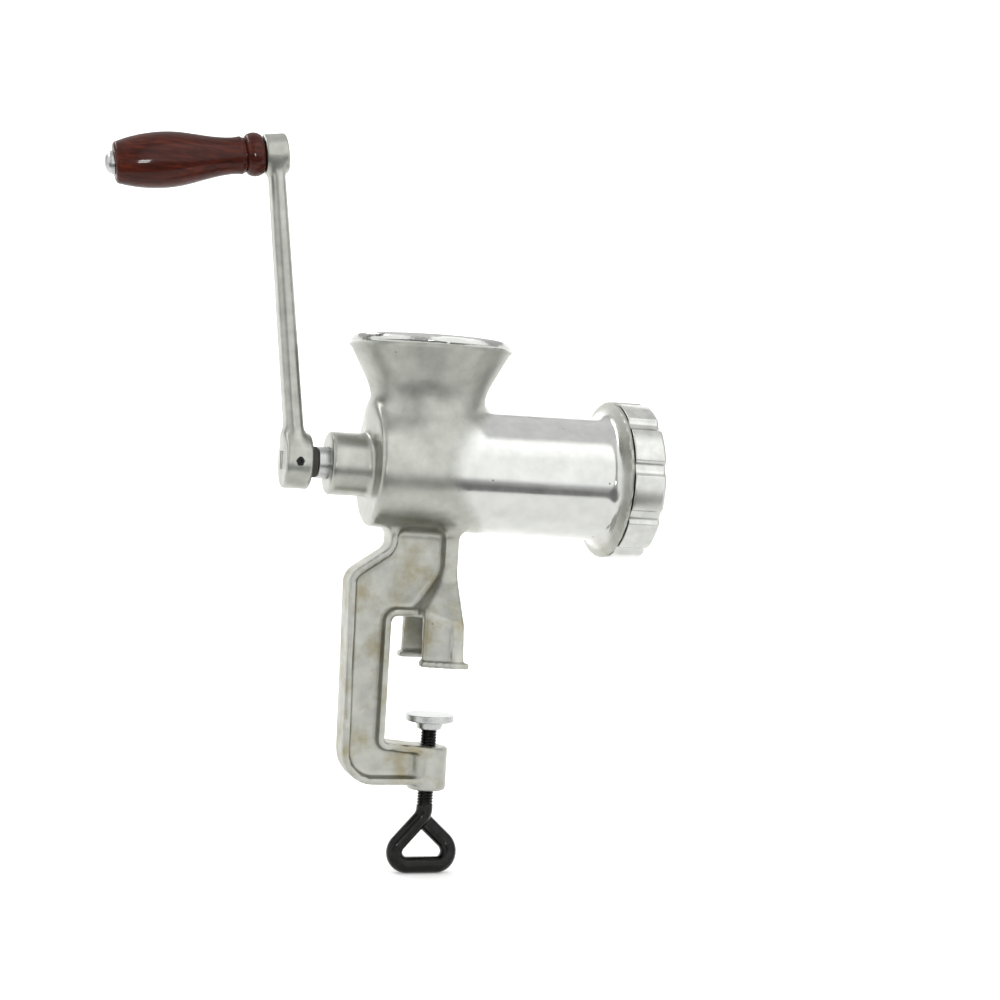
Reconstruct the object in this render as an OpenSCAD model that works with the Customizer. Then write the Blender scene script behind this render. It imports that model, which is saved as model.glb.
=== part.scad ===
// Clamp-on hand meat grinder of the 62 mm plate size.
// Origin at the centre of the underside of the fixed jaw, +X along the barrel to the ring nut, +Z up.

/* [Barrel] */
// height of the shaft axis over the underside of the fixed jaw
axis_h = 99.3; // [80:0.1:130]
// distance of the barrel's rear wall behind the jaw
rear_back = 46.2; // [40:0.1:60]
// outside length of the barrel from the rear wall to the front of its collar
barrel_len = 129.5; // [110:0.1:150]
// outside radius of the barrel at the rear wall
barrel_r = 31; // [30:0.1:34]
// growth of the outside radius from the rear wall to the flare
barrel_draft = 1.6; // [0:0.1:3]
// radius of the bore that the feed screw turns in
bore_r = 27; // [24:0.1:28.5]
// thickness of the barrel's rear wall
rear_wall = 5; // [3:0.1:8]
// rounding of the barrel's rear edge
rear_edge = 3; // [1:0.1:5]
// depth of the collar's edge inside the ring nut's outside
collar_in = 0.2; // [0:0.1:2]
// length of the collar's straight edge
collar_t = 1.5; // [1:0.1:4]
// length of the flare from the barrel out to the collar
flare_len = 3.8; // [3:0.1:12]
// rounding where the barrel sweeps out to the collar
flare_r = 3; // [2:0.1:8]
// wall of the threaded nose round the plate's seat
nose_wall = 5.4; // [4:0.1:8]
// length of the threaded nose
nose_len = 13; // [11:0.1:18]

/* [Hopper] */
// distance of the hopper's axis behind the jaw
hopper_back = 17; // [14:0.1:17.2]
// outside radius of the hopper's throat
throat_r = 29; // [27:0.1:29.2]
// wall of the hopper
hopper_wall = 4; // [3:0.1:5]
// height of the hopper's rim over the shaft axis
hopper_rise = 66.3; // [60:0.1:80]
// height over the shaft axis where the throat starts to sweep out
sweep_start = 31.7; // [28:0.1:36]
// radius of that sweep in the outside wall
sweep_r = 28; // [15:0.5:36]
// slope of the funnel, from the vertical
funnel_lean = 28; // [20:0.5:36]
// distance that the rolled lip reaches beyond the ring nut's outside
lip_over = 0.5; // [0:0.1:4]
// height of the lip
lip_h = 4.6; // [3:0.1:7]

/* [Rear bearing] */
// radius of the bearing boss
boss_r = 16; // [13:0.1:20]
// length of the boss behind the rear wall
boss_len = 21.4; // [15:0.1:30]
// chamfer on the boss
boss_edge = 1.5; // [0.5:0.1:3]
// outside radius of the bush
bush_r = 8; // [7.5:0.1:10]
// length of bush that stands out of the boss
bush_proud = 5.5; // [3:0.1:9]
// radius of the shaft
shaft_r = 6; // [5:0.1:6.8]
// running clearance of every shaft and pin, on the radius
run_gap = 0.06; // [0.04:0.01:0.1]
// gap between faces that turn past each other
face_gap = 0.3; // [0.2:0.05:0.5]

/* [Feed screw] */
// clearance between the flight and the bore
flight_gap = 0.8; // [0.5:0.1:2]
// thickness of the flight at its edge
flight_t = 4; // [2.5:0.1:6]
// thickness that the flight gains down to its root
flight_draft = 3; // [0:0.1:5]
// core radius under the hopper
core_rear_r = 10; // [9:0.1:12]
// core radius at the knife
core_front_r = 16; // [13:0.1:19]
// pitch of the flight under the hopper
pitch_rear = 38; // [30:0.5:50]
// pitch of the flight at the knife
pitch_front = 23; // [16:0.5:30]
// radius of the shoulder that takes the thrust
shoulder_r = 17; // [14:0.1:22]
// thickness of the shoulder
shoulder_t = 4; // [3:0.1:7]
// thickness of the thrust washer
thrust_t = 2.4; // [1.5:0.1:4]
// width across the flats of the shaft's square tail
tail_sq = 8.4; // [7:0.1:8.4]

/* [Knife and plate] */
// diameter of the grinding plate
plate_d = 62; // [60:0.1:64]
// thickness of the grinding plate
plate_t = 7; // [5:0.1:8]
// length of plate that stands out of the nose
plate_proud = 0.8; // [0.5:0.1:2]
// clearance round the plate
plate_gap = 0.15; // [0.1:0.05:0.3]
// diameter of the holes in the plate
hole_d = 6; // [4:0.1:6.5]
// spacing of those holes
hole_pitch = 8.2; // [7:0.1:10]
// rim of the plate that has no holes
plate_rim = 3.2; // [2.5:0.1:6]
// radius swept by the knife
knife_r = 26; // [23:0.1:26.5]
// thickness of the knife's hub
knife_t = 8; // [6:0.1:10]
// thickness of a blade at its tip
blade_t = 4; // [3:0.1:5.5]
// width of a blade
blade_w = 9; // [7:0.1:12]
// radius of the knife's hub
knife_hub_r = 9.5; // [8.5:0.1:12]
// width across the flats of the stud
stud_sq = 9; // [8:0.1:10]
// radius of the stud's round end
stud_pin_r = 4.2; // [3:0.1:4.4]
// length of stud inside the feed screw
stud_hold = 14; // [8:0.5:20]
// radius of the dowel that keys the plate
key_r = 2; // [1.5:0.1:2.4]
// length of the dowel that stands into the plate's notch
key_proud = 2; // [1:0.1:3]

/* [Ring nut] */
// wall of the ring nut over the nose, to the top of the lobes
ring_wall = 5.1; // [4.2:0.1:8]
// thickness of the lip that holds the plate
ring_lip = 4; // [3:0.1:6]
// gap between the ring nut and the collar
ring_gap = 0.6; // [0.3:0.1:1.5]
// clearance over the nose's thread
thread_gap = 0.3; // [0.25:0.05:0.5]
// radius of the mouth
mouth_r = 28; // [27.8:0.1:29]
// number of lobes
lobes = 10; // [6:1:14]
// radius of the groove between two lobes
groove_r = 6; // [4:0.1:9]
// depth of that groove
groove_deep = 1.9; // [1:0.1:2.4]
// rounding of the front edge
ring_edge = 2.2; // [1:0.1:3]
// angle of one groove over the horizontal, on the near side
groove_at = 10; // [0:1:36]

/* [Crank] */
// length of the crank's hub
hub_len = 13.4; // [11:0.1:20]
// radius of the hub
hub_r = 13.9; // [12:0.1:17]
// thickness of the spacer washer in front of the hub
spacer_t = 3.5; // [2:0.1:6]
// radius of the spacer washer
spacer_r = 7.8; // [7:0.1:10]
// distance from the shaft to the handle's spindle along the arm
arm_len = 153.3; // [120:0.1:190]
// lean of the arm away from the barrel
arm_lean = 7.2; // [0:0.1:12]
// width of the arm at the hub
arm_w_low = 17; // [14:0.1:22]
// width of the arm at the eye
arm_w_top = 14; // [11:0.1:18]
// thickness of the arm at the hub
arm_t_low = 9; // [7:0.1:11]
// thickness of the arm at the eye
arm_t_top = 7.5; // [6:0.1:10]
// radius of the eye that holds the spindle
eye_r = 9.6; // [8:0.1:12]
// length of the eye
eye_len = 11.5; // [9:0.1:16]
// radius of the set screw
set_r = 2; // [1.5:0.1:2.5]

/* [Handle] */
// droop of the spindle from the horizontal
spindle_droop = 9.8; // [0:0.1:12]
// radius of the spindle
spindle_r = 3.5; // [3:0.1:4.2]
// length of the wooden grip
grip_len = 73; // [60:0.1:100]
// greatest radius of the grip
belly_r = 13.6; // [12:0.1:17]
// distance of the belly from the eye's end of the grip
belly_at = 49; // [40:0.1:55]
// radius of the grip's neck
neck_r = 9; // [8:0.1:10.5]
// distance of the neck from the eye's end of the grip
neck_at = 14.5; // [13:0.1:18]
// radius of the bead by the eye
bead_r = 10.8; // [9.5:0.1:12.5]
// length of the bead
bead_len = 9.4; // [7:0.1:11]
// radius of the grip's flat outer end
tip_r = 8; // [6.5:0.1:10]
// rounding of the edge round that flat end
tip_edge = 2.4; // [1:0.1:4]
// radius of the spindle's domed head
head_r = 5.3; // [4.6:0.1:7]
// height of the head
head_h = 3.2; // [2:0.1:5]
// thickness of the washer under the head
washer_t = 1; // [0.6:0.1:2]

/* [Clamp frame] */
// width of the frame's rims
frame_w = 18; // [14:0.1:24]
// thickness of the web between the rims
web_t = 7; // [5:0.1:11]
// thickness of the rims
rim_t = 3.6; // [2.5:0.1:5]
// distance of the spine's back behind the jaw, at the top
spine_back = 54.3; // [50:0.1:60]
// taper of the spine towards the bottom
spine_taper = 2; // [0:0.1:4]
// distance of the spine's front behind the jaw
spine_front = 31; // [26:0.1:34]
// distance of the neck's back behind the jaw
neck_back = 34; // [30:0.1:38]
// height where the neck turns out to the spine
neck_turn = 58.6; // [50:0.1:62]
// height of the spine's shoulder
spine_top = 44.6; // [38:0.1:47]
// height of the frame's ceiling over the underside of the jaw
ceiling = 23.7; // [18:0.1:30]
// depth of the lower arm's upper face below the underside of the jaw
lower_top = 40.8; // [36:0.1:60]
// height of the lower arm
lower_h = 21.8; // [16:0.1:30]
// fall of the lower arm's upper face to the screw boss
lower_fall = 2.6; // [0:0.1:4]
// outer corner radius at the bottom
corner_r = 17; // [8:0.5:20]

/* [Fixed jaw] */
// width of the jaw
jaw_w = 62; // [44:0.1:80]
// depth of the foot under the jaw's front wall
foot_d = 8.8; // [7:0.1:14]
// distance that the foot stands out round the jaw's walls
foot_step = 1.2; // [0.5:0.1:3]
// thickness of the foot
foot_t = 3; // [2:0.1:5]
// thickness of the jaw's front wall
leg_t = 6.3; // [5:0.1:8]
// thickness of the jaw's side wings
wing_t = 10; // [7:0.1:13]
// distance of the wings' back edge behind the jaw
wing_back = 17.7; // [13:0.1:22]
// step from the front wall's edge in to a wing
wing_step = 1.6; // [0.5:0.1:3]
// taper of each wing towards its back edge
wing_taper = 5; // [0:0.1:6]
// width of the leg under the barrel
leg_w = 19; // [18:0.1:26]
// height where the leg has widened
leg_low = 22; // [14:0.1:23]
// height where the leg starts to widen
leg_high = 45; // [38:0.1:52]
// narrowing of the leg from the foot up to that height, each side
leg_draft = 2.5; // [0:0.1:5]

/* [Clamp screw] */
// distance of the clamp screw behind the jaw
screw_back = 5.8; // [4:0.1:9]
// radius of the clamp screw
screw_r = 4.3; // [3.5:0.1:5]
// radius of its boss
screw_boss_r = 10; // [8:0.1:13]
// length of the boss
screw_boss_h = 22.2; // [18:0.1:30]
// thickness of the table that the clamp is set to
table_t = 27; // [20:0.1:32]
// radius of the pad
pad_r = 12.5; // [10:0.1:16]
// thickness of the pad's disc
pad_t = 3.5; // [2.5:0.1:5]
// height of the pad's hub under the disc
pad_hub_h = 4; // [3:0.1:5]
// radius of the screw's turned tip in the pad
screw_tip_r = 3; // [2.2:0.1:3.3]
// length of the screw from the pad to its first bend
screw_len = 41.3; // [40:0.1:52]
// width of the loop
loop_w = 38; // [32:0.1:50]
// slope of the loop's first leg
loop_a = 48.5; // [46:0.5:54]
// slope of the loop's last leg
loop_b = 43; // [40:0.5:50]
// bend radius of the loop's corners
loop_bend = 6.8; // [5.5:0.1:8]
// distance the rod's end is set behind the loop's first leg
loop_set = 7.4; // [6:0.1:10]
// bend radius where the screw turns into the loop
first_bend = 9; // [5:0.1:11]

/* [Hidden] */
$fn = 64;
steps = 6;
nose_r = plate_d / 2 + nose_wall;
ring_r = nose_r + ring_wall;
collar_r = ring_r - collar_in;
lip_r = ring_r + lip_over;
rear_x = -rear_back;
inner_x = rear_x + rear_wall;
collar_x = rear_x + barrel_len;
mouth_x = collar_x + nose_len;
flare_x = collar_x - collar_t - flare_len;
plate_x = mouth_x + plate_proud - plate_t;
knife_x = plate_x - face_gap - knife_t;
screw_end_x = knife_x;
thrust_x = inner_x + face_gap;
shoulder_x = thrust_x + thrust_t;
boss_x = rear_x - boss_len;
bush_x = boss_x - bush_proud;
spacer_x = bush_x - face_gap - spacer_t;
hub_x = spacer_x - hub_len;
flight_r = bore_r - flight_gap;
hole_limit = plate_d / 2 - plate_rim - hole_d / 2;
ring_x = collar_x + ring_gap;
lip_x = mouth_x + plate_proud + face_gap;
ring_front = lip_x + ring_lip;
eye_x = -arm_len * sin(arm_lean);
eye_z = arm_len * cos(arm_lean);
foot_back = foot_d / 2;
lower_z = -lower_top - lower_h;
boss_top = -lower_top - lower_fall;
pad_z = -table_t;
pad_low = pad_z - pad_t - pad_hub_h;
tip_len = pad_t + pad_hub_h - 2;
bend_z = pad_low - screw_len;
bend_turn = 90 - loop_a;
loop_c = loop_w / 2 - screw_r - loop_bend;
loop_l = loop_c + loop_bend / tan(loop_a / 2);
loop_rt = loop_c + loop_bend / tan(loop_b / 2);
loop_top = bend_z - first_bend * tan(bend_turn / 2);
loop_low = loop_top - loop_l * tan(loop_a);
loop_reach = loop_rt * sin(loop_a) + (loop_top - loop_low) * cos(loop_a);
loop_tail = (loop_reach - screw_r - face_gap) / sin(loop_a + loop_b);

// Outlines are lists of corners [x, y, fillet radius], counter-clockwise.
function xy(p) = [p[0], p[1]];
function unit(v) = v / norm(v);

// Points of the fillet at corner b between its neighbours a and c.
function fillet(a, b, c, r) =
    let(u = unit(a - b), v = unit(c - b), half = acos(u * v) / 2)
    let(m = b + unit(u + v) * r / sin(half), s = b + u * r / tan(half) - m, e = b + v * r / tan(half) - m)
    let(from = atan2(s[1], s[0]), d = atan2(e[1], e[0]) - from)
    let(sweep = d > 180 ? d - 360 : d < -180 ? d + 360 : d)
    [for (i = [0 : steps]) m + r * [cos(from + sweep * i / steps), sin(from + sweep * i / steps)]];

// The outline with every corner rounded by its own radius.
function rounded(p) =
    let(n = len(p))
    [for (i = [0 : n - 1])
        let(a = xy(p[(i + n - 1) % n]), b = xy(p[i]), c = xy(p[(i + 1) % n]))
        each p[i][2] > 0 ? fillet(a, b, c, p[i][2]) : [b]];

// The outline moved inwards by t, with its fillets kept concentric.
function inset(p, t) =
    let(n = len(p))
    [for (i = [0 : n - 1])
        let(a = xy(p[(i + n - 1) % n]), b = xy(p[i]), c = xy(p[(i + 1) % n]))
        let(d = unit(b - a), e = unit(c - b), m = [-d[1], d[0]], k = [-e[1], e[0]])
        let(q = b + t * (m + k) / (1 + m * k), convex = d[0] * e[1] - d[1] * e[0] > 0)
        [q[0], q[1], p[i][2] == 0 ? 0 : convex ? max(p[i][2] - t, 0.4) : p[i][2] + t]];

// Faces of a tube with n + 1 sections of k points, both ends closed.
function tube_faces(n, k) = concat(
    [[for (j = [0 : k - 1]) j]],
    [for (i = [0 : n - 1], j = [0 : k - 1])
        let(p = k * i + j, q = k * i + (j + 1) % k)
        each [[q, p, q + k], [q + k, p, p + k]]],
    [[for (j = [k - 1 : -1 : 0]) k * n + j]]);

// Turned about the shaft axis from an outline [radius, x].
module on_shaft(p) {
    translate([0, 0, axis_h])
        rotate([0, 90, 0])
            rotate_extrude()
                polygon(p);
}

// Straight rod along the shaft axis.
module shaft_rod(x, length, r) {
    translate([x, 0, axis_h])
        rotate([0, 90, 0])
            cylinder(h = length, r = r);
}

// Square bar along the shaft axis.
module shaft_square(x, length, w) {
    translate([x, -w / 2, axis_h - w / 2])
        cube([length, w, w]);
}

// Outside of the barrel with its flare, collar and threaded nose.
module barrel_outside() {
    on_shaft(rounded([
        [0, rear_x, 0],
        [barrel_r, rear_x, rear_edge],
        [barrel_r + barrel_draft, flare_x, flare_r],
        [collar_r, collar_x - collar_t, 0.6],
        [collar_r, collar_x, 0.6],
        [nose_r, collar_x, 0],
        [nose_r, mouth_x, 0.8],
        [0, mouth_x, 0]]));
    on_shaft(rounded([
        [0, boss_x, 0],
        [boss_r, boss_x, boss_edge],
        [boss_r, inner_x, 0],
        [0, inner_x, 0]]));
}

// Half section of the funnel, solid to the axis, moved inwards by t.
function funnel(t, low, top) =
    let(c = [throat_r + sweep_r, axis_h + sweep_start], r = sweep_r + t)
    let(e = [c[0] - r * cos(funnel_lean), c[1] + r * sin(funnel_lean)])
    concat([[0, low], [throat_r - t, low]],
        [for (i = [0 : steps]) c + r * [-cos(funnel_lean * i / steps), sin(funnel_lean * i / steps)]],
        [[e[0] + (top - e[1]) * tan(funnel_lean), top], [0, top]]);

module hopper_outside() {
    rim = axis_h + hopper_rise;
    translate([-hopper_back, 0, 0]) {
        rotate_extrude()
            polygon(funnel(0, axis_h, rim - lip_h));
        translate([0, 0, rim - lip_h])
            rotate_extrude()
                polygon(rounded([[0, 0, 0], [lip_r, 0, 0.8], [lip_r, lip_h, 1.6], [0, lip_h, 0]]));
    }
}

module hopper_inside() {
    translate([-hopper_back, 0, 0])
        rotate_extrude()
            polygon(funnel(hopper_wall, axis_h + 5, axis_h + hopper_rise + 1));
}

// Side outline of the clamp frame, drawn in X and Z.
frame_path = [
    [-spine_back + spine_taper, lower_z, corner_r],
    [-screw_back, lower_z, 0],
    [-screw_back, boss_top, 0],
    [-spine_front, -lower_top, 1.8],
    [-spine_front, ceiling, 3.2],
    [foot_back - leg_t, ceiling, 0],
    [foot_back - leg_t, axis_h - bore_r + 6, 0],
    [-neck_back, axis_h - bore_r + 6, 0],
    [-neck_back, neck_turn, 6],
    [-spine_back, spine_top, 10]];

// I-section: a web with a rim on both sides of it all the way round.
module clamp_frame() {
    rotate([90, 0, 0]) {
        linear_extrude(web_t, center = true)
            polygon(rounded(frame_path));
        linear_extrude(frame_w, center = true)
            difference() {
                polygon(rounded(frame_path));
                polygon(rounded(inset(frame_path, rim_t)));
            }
    }
    translate([-screw_back, 0, boss_top - screw_boss_h])
        cylinder(h = screw_boss_h, r = screw_boss_r);
}

// Bell outline of the jaw from the front, drawn in Y and Z.
leg_half = jaw_w / 2 - foot_step;
leg_wide = leg_half - leg_draft;
leg_path = let(top = axis_h - bore_r - 1) [
    [-leg_half, 0, 0],
    [leg_half, 0, 0],
    [leg_wide, leg_low, 9],
    [leg_w / 2, leg_high, 14],
    [leg_w / 2, top, 0],
    [-leg_w / 2, top, 0],
    [-leg_w / 2, leg_high, 14],
    [-leg_wide, leg_low, 9]];

// Fixed jaw: front wall, two wings that run back from it with a pocket between them, and the foot.
module fixed_jaw() {
    back = -wing_back - foot_step;
    inside = leg_half - wing_t;
    roof = ceiling + 1;
    side = leg_half - wing_step;
    translate([-foot_back, 0, 0])
        rotate([90, 0, 90])
            linear_extrude(leg_t)
                polygon(rounded(leg_path));
    intersection() {
        translate([-wing_back, 0, 0])
            rotate([90, 0, 90])
                linear_extrude(wing_back)
                    difference() {
                        polygon(rounded(leg_path));
                        polygon(rounded([
                            [-inside, -1, 0],
                            [inside, -1, 0],
                            [inside - leg_draft, roof, 3],
                            [-inside + leg_draft, roof, 3]]));
                    }
        rotate([90, 0, 0])
            linear_extrude(jaw_w + 2, center = true)
                polygon([[-wing_back, -1], [0, -1], [0, leg_high],
                    [-foot_back - 2, leg_high], [-wing_back, roof + 4]]);
        linear_extrude(leg_high + 1)
            polygon([[-wing_back, wing_taper - side], [0, -side], [0, side], [-wing_back, side - wing_taper]]);
    }
    linear_extrude(foot_t)
        polygon(rounded([
            [-foot_back, -jaw_w / 2, 2],
            [foot_back, -jaw_w / 2, 2],
            [foot_back, jaw_w / 2, 2],
            [-foot_back, jaw_w / 2, 2],
            [back, jaw_w / 2 - wing_taper, 3],
            [back, inside - foot_step, 1],
            [-foot_back, inside - foot_step, 2],
            [-foot_back, foot_step - inside, 2],
            [back, foot_step - inside, 1],
            [back, wing_taper - jaw_w / 2, 3]]));
}

// Body casting with its bores.
module grinder_body() {
    color("#c6c8c4")
        difference() {
            union() {
                barrel_outside();
                hopper_outside();
                clamp_frame();
                fixed_jaw();
            }
            shaft_rod(inner_x, plate_x - face_gap - inner_x, bore_r);
            shaft_rod(plate_x - face_gap - 0.01, mouth_x - plate_x + face_gap + 1, plate_d / 2 + plate_gap);
            shaft_rod(boss_x - 1, boss_len + rear_wall + 2, bush_r);
            hopper_inside();
            key_bar(0);
            translate([-screw_back, 0, boss_top - screw_boss_h - 1])
                cylinder(h = screw_boss_h + 2, r = screw_r + run_gap);
        }
}

// Dowel through the top of the nose, down into the plate's notch.
module key_bar(short) {
    translate([mouth_x - (plate_t - plate_proud) / 2, 0, axis_h + plate_d / 2 - key_proud])
        cylinder(h = sqrt(nose_r * nose_r - key_r * key_r) - plate_d / 2 + key_proud - short, r = key_r);
}

module plate_key() {
    color("#8d8f90")
        key_bar(0.5);
}

// Bush pressed into the rear boss.
module rear_bush() {
    color("#cfd0cc")
        on_shaft([
            [shaft_r + run_gap, bush_x],
            [bush_r - 0.5, bush_x],
            [bush_r, bush_x + 0.5],
            [bush_r, inner_x],
            [shaft_r + run_gap, inner_x]]);
}

module thrust_washer() {
    color("#a9a294")
        on_shaft([
            [shaft_r + run_gap, thrust_x],
            [shoulder_r, thrust_x],
            [shoulder_r, shoulder_x],
            [shaft_r + run_gap, shoulder_x]]);
}

// Turn angle of the flight at distance s from its start, for a pitch that changes evenly.
flight_x = shoulder_x + shoulder_t - 1;
flight_len = screw_end_x - flight_x - (flight_t + flight_draft) / 2 - 0.5;
function pitch_at(s) = pitch_rear + (pitch_front - pitch_rear) * s / flight_len;
function turn_at(s) = 360 * flight_len / (pitch_front - pitch_rear) * ln(pitch_at(s) / pitch_rear);
function core_at(s) = core_rear_r + (core_front_r - core_rear_r) * s / flight_len;

// Left-hand flight swept along the core: four corners a section, thicker at the root.
module flight() {
    n = ceil(turn_at(flight_len) / 15);
    root = (flight_t + flight_draft) / 2;
    tip = flight_t / 2;
    sections = [for (i = [0 : n])
        let(s = flight_len * i / n, a = -turn_at(s), r = core_at(s) - 1.5, z = flight_x + root + s)
        let(out = r + (flight_r - r) * min(1, 0.35 + i / 8), edge = [cos(a), sin(a)])
        each [concat(r * edge, z - root), concat(out * edge, z - tip),
            concat(out * edge, z + tip), concat(r * edge, z + root)]];
    translate([0, 0, axis_h])
        rotate([0, 90, 0])
            polyhedron(sections, tube_faces(n, 4));
}

// Feed screw: growing core, closing flight, thrust shoulder, journal and square tail.
module auger() {
    color("#b9bbb8")
        difference() {
            union() {
                on_shaft([
                    [0, shoulder_x],
                    [shoulder_r, shoulder_x],
                    [shoulder_r, shoulder_x + shoulder_t],
                    [core_rear_r, shoulder_x + shoulder_t + 2],
                    [core_front_r, screw_end_x],
                    [0, screw_end_x]]);
                flight();
                shaft_rod(spacer_x, shoulder_x - spacer_x + 1, shaft_r);
                shaft_square(hub_x + 0.6, spacer_x - hub_x, tail_sq);
            }
            shaft_square(screw_end_x - stud_hold, stud_hold + 1, stud_sq);
        }
}

// Stud in the feed screw's nose: square for the knife, round in the plate.
module auger_stud() {
    color("#9a9da0") {
        shaft_square(screw_end_x - stud_hold, stud_hold + knife_t, stud_sq);
        shaft_rod(knife_x + knife_t - 1, plate_t + face_gap + 0.5, stud_pin_r);
    }
}

// Cross knife: four blades with a straight cutting edge, a bevelled back and a thin tip.
module knife() {
    blade = [[0, -blade_w / 2, 0], [knife_r, -blade_w / 2, 0], [knife_r, blade_w / 2 - 1, 1],
        [knife_hub_r + 3, blade_w / 2 - 1.5, 8], [0, blade_w / 2, 0]];
    color("#aeb1b3")
        difference() {
            translate([knife_x, 0, axis_h])
                rotate([0, 90, 0])
                    difference() {
                        union() {
                            cylinder(h = knife_t, r = knife_hub_r);
                            intersection() {
                                for (i = [0 : 3])
                                    rotate(90 * i + 20)
                                        linear_extrude(knife_t)
                                            polygon(rounded(blade));
                                cylinder(h = knife_t, r = knife_r);
                            }
                        }
                        rotate_extrude()
                            polygon([[knife_hub_r, -1], [knife_r + 1, -1], [knife_r + 1, knife_t - blade_t],
                                [knife_hub_r, 1.2]]);
                        for (i = [0 : 3])
                            rotate(90 * i + 20)
                                translate([knife_hub_r + 1, -blade_w / 2, knife_t - 1])
                                    rotate([-50, 0, 0])
                                        translate([0, -blade_w, -knife_t])
                                            cube([knife_r, blade_w, knife_t]);
                    }
            shaft_square(knife_x - 1, knife_t + 2, stud_sq + 0.2);
        }
}

// Drilled plate: holes on a hexagonal grid, a centre hole for the stud and a notch for the dowel.
module grinding_plate() {
    span = ceil(plate_d / hole_pitch);
    color("#b4b6b6")
        difference() {
            on_shaft(rounded([
                [0, plate_x, 0],
                [plate_d / 2, plate_x, 0.4],
                [plate_d / 2, plate_x + plate_t, 0.4],
                [0, plate_x + plate_t, 0]]));
            translate([plate_x - 1, 0, axis_h])
                rotate([0, 90, 0]) {
                    cylinder(h = plate_t + 2, r = stud_pin_r + run_gap);
                    for (i = [-span : span], j = [-span : span]) {
                        p = hole_pitch * [i + j / 2, j * sqrt(3) / 2];
                        if (norm(p) < hole_limit + 0.01 && norm(p) > stud_pin_r + hole_d / 2 + 3)
                            translate(p)
                                cylinder(h = plate_t + 2, r = hole_d / 2);
                    }
                }
            translate([plate_x - 1, -key_r - 0.25, axis_h + plate_d / 2 - key_proud - 0.3])
                cube([plate_t + 2, 2 * key_r + 0.5, key_proud + 2]);
        }
}

// Ring nut with broad lobes and an inner lip.
module ring_nut() {
    color("#d9dad7")
        difference() {
            on_shaft(rounded([
                [nose_r + thread_gap, ring_x, 0],
                [ring_r, ring_x, 0.8],
                [ring_r, ring_front, ring_edge],
                [mouth_r, ring_front, 0.8],
                [mouth_r, lip_x, 0],
                [nose_r + thread_gap, lip_x, 0]]));
            translate([ring_x - 1, 0, axis_h])
                rotate([0, 90, 0])
                    for (i = [0 : lobes - 1])
                        rotate(360 / lobes * i - 90 + groove_at)
                            translate([ring_r + groove_r - groove_deep, 0, 0])
                                cylinder(h = ring_front - ring_x + 2, r = groove_r);
        }
}

// Spacer between the bush and the crank's hub.
module spacer_washer() {
    color("#3a3936")
        on_shaft([
            [shaft_r + run_gap, spacer_x],
            [spacer_r, spacer_x],
            [spacer_r, spacer_x + spacer_t],
            [shaft_r + run_gap, spacer_x + spacer_t]]);
}

// Places its children on the spindle: origin at the eye's centre, +X along the spindle to the front.
module at_eye() {
    translate([hub_x + hub_len / 2 + eye_x, 0, axis_h + eye_z])
        rotate([0, -spindle_droop, 0])
            children();
}

// Turned about the spindle from an outline [radius, distance out from the eye].
module on_spindle(p) {
    at_eye()
        translate([-eye_len / 2, 0, 0])
            rotate([0, -90, 0])
                rotate_extrude()
                    polygon(p);
}

// Crank: hub with a square socket, tapered arm with round edges, and the eye.
module crank_arm() {
    color("#b2b4b0")
        difference() {
            union() {
                on_shaft(rounded([
                    [0, hub_x, 0],
                    [hub_r, hub_x, 1],
                    [hub_r, hub_x + hub_len, 1],
                    [0, hub_x + hub_len, 0]]));
                translate([hub_x + hub_len / 2, 0, axis_h])
                    rotate([0, -arm_lean, 0])
                        hull() {
                            arm_end(arm_w_low, arm_t_low, tail_sq);
                            arm_end(arm_w_top, arm_t_top, arm_len - spindle_r - 1);
                        }
                at_eye()
                    rotate([0, 90, 0])
                        rotate_extrude()
                            polygon(rounded([
                                [0, -eye_len / 2, 0],
                                [eye_r, -eye_len / 2, 0.8],
                                [eye_r, eye_len / 2, 0.8],
                                [0, eye_len / 2, 0]]));
            }
            shaft_square(hub_x - 1, hub_len + 2, tail_sq + 0.1);
            at_eye()
                translate([-eye_len / 2 - 1, 0, 0])
                    rotate([0, 90, 0])
                        cylinder(h = eye_len + 2, r = spindle_r);
            set_bar(hub_r + 1);
        }
}

// Oval section of the arm at height z, as two short pegs to be hulled.
module arm_end(w, t, z) {
    for (side = [-1, 1])
        translate([0, side * (w - t) / 2, z])
            cylinder(h = 0.5, r = t / 2, $fn = 32);
}

// Peg in the side of the hub that reaches the shaft's tail.
module set_bar(reach) {
    translate([hub_x + hub_len / 2, -tail_sq / 2 - 0.05, axis_h])
        rotate([90, 0, 0])
            cylinder(h = reach - tail_sq / 2 - 0.05, r = set_r);
}

// Headless set screw with a hexagon socket.
module crank_screw() {
    color("#4c4d4e")
        difference() {
            set_bar(hub_r - 0.4);
            translate([hub_x + hub_len / 2, -hub_r, axis_h])
                rotate([90, 0, 0])
                    cylinder(h = 5, r = set_r * 0.6, center = true, $fn = 6);
        }
}

// Spindle riveted in the eye, with a domed head at its outer end.
module handle_spindle() {
    out = face_gap + grip_len + face_gap + washer_t;
    color("#9c9e9e")
        on_spindle(concat(
            [[0, -eye_len], [spindle_r, -eye_len], [spindle_r, out], [head_r, out]],
            [for (i = [1 : steps]) [head_r * cos(90 * i / steps), out + head_h * sin(90 * i / steps)]]));
}

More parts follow.
